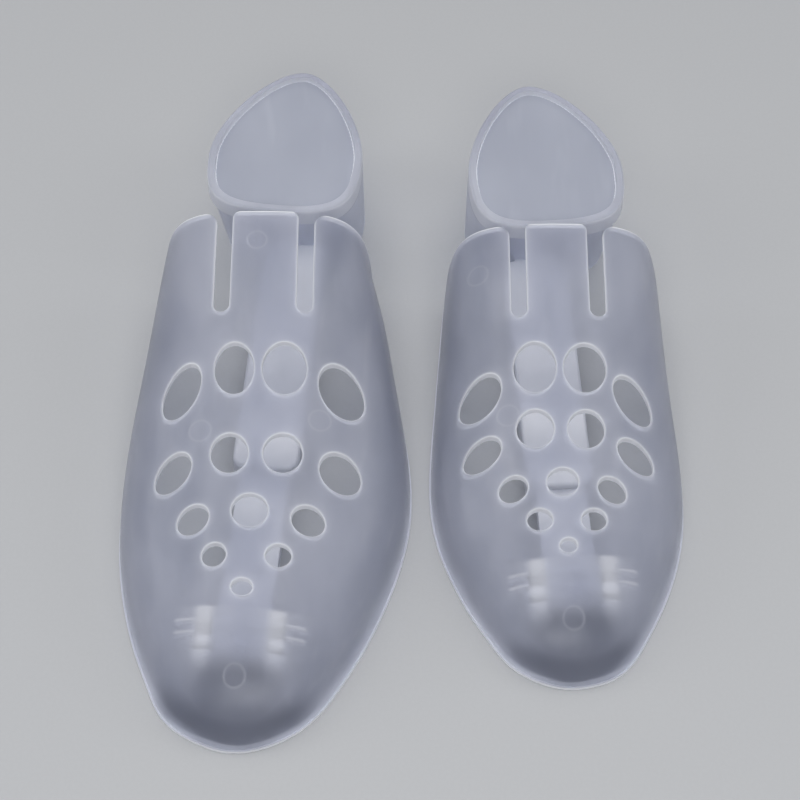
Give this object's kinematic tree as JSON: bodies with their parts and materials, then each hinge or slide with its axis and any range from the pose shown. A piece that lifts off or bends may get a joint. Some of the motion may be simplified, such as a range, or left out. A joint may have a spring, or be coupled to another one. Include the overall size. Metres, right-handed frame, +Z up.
{
  "type": "shoe stretcher",
  "caption": "Adjustable shoe stretchers with perforated translucent toe shells, hinged notched arms in sliding guide sleeves, and hollow heel blocks.",
  "frame": {"origin": "on the floor plane, midway along and across the standing pair", "axes": "+Z up, +Y from the toes to the heels, +X toward the smaller right-foot tree"},
  "size_m": [0.1697, 0.2259, 0.0466],
  "materials": {
    "toe_shell": "frosted translucent polypropylene",
    "hinge_pin": "frosted translucent polypropylene",
    "rack_bar": "frosted translucent polypropylene",
    "slide_sleeve": "frosted translucent polypropylene",
    "detent_spring": "frosted translucent polypropylene",
    "heel_cup": "frosted translucent polypropylene",
    "heel_cap": "frosted translucent polypropylene"
  },
  "bodies": {
    "toe_shells": {"left_toe_shell": "toe_shell", "left_hinge_pin": "hinge_pin", "right_toe_shell": "toe_shell", "right_hinge_pin": "hinge_pin"},
    "left_arm": {"left_rack_bar": "rack_bar"},
    "left_heel": {"left_slide_sleeve": "slide_sleeve", "left_detent_spring": "detent_spring", "left_heel_cup": "heel_cup", "left_heel_cap": "heel_cap"},
    "right_arm": {"right_rack_bar": "rack_bar"},
    "right_heel": {"right_slide_sleeve": "slide_sleeve", "right_detent_spring": "detent_spring", "right_heel_cup": "heel_cup", "right_heel_cap": "heel_cap"}
  },
  "joints": [
    {"name": "left_arm_hinge", "type": "hinge", "parent": "toe_shells", "child": "left_arm", "pos_m": [-0.04575, -0.08475, 0.011], "axis": [0.9969, -0.0785, 0], "range_deg": [-50, 8]},
    {"name": "left_length_slide", "type": "slide", "parent": "left_arm", "child": "left_heel", "axis": [0.0785, 0.9969, 0], "range_m": [-0.004, 0.044], "deforming": ["left_detent_spring"]},
    {"name": "right_arm_hinge", "type": "hinge", "parent": "toe_shells", "child": "right_arm", "pos_m": [0.04875, -0.06745, 0.011], "axis": [0.9984, 0.0558, 0], "range_deg": [-50, 8]},
    {"name": "right_length_slide", "type": "slide", "parent": "right_arm", "child": "right_heel", "axis": [-0.0558, 0.9984, 0], "range_m": [0, 0.048], "deforming": ["right_detent_spring"]}
  ]
}
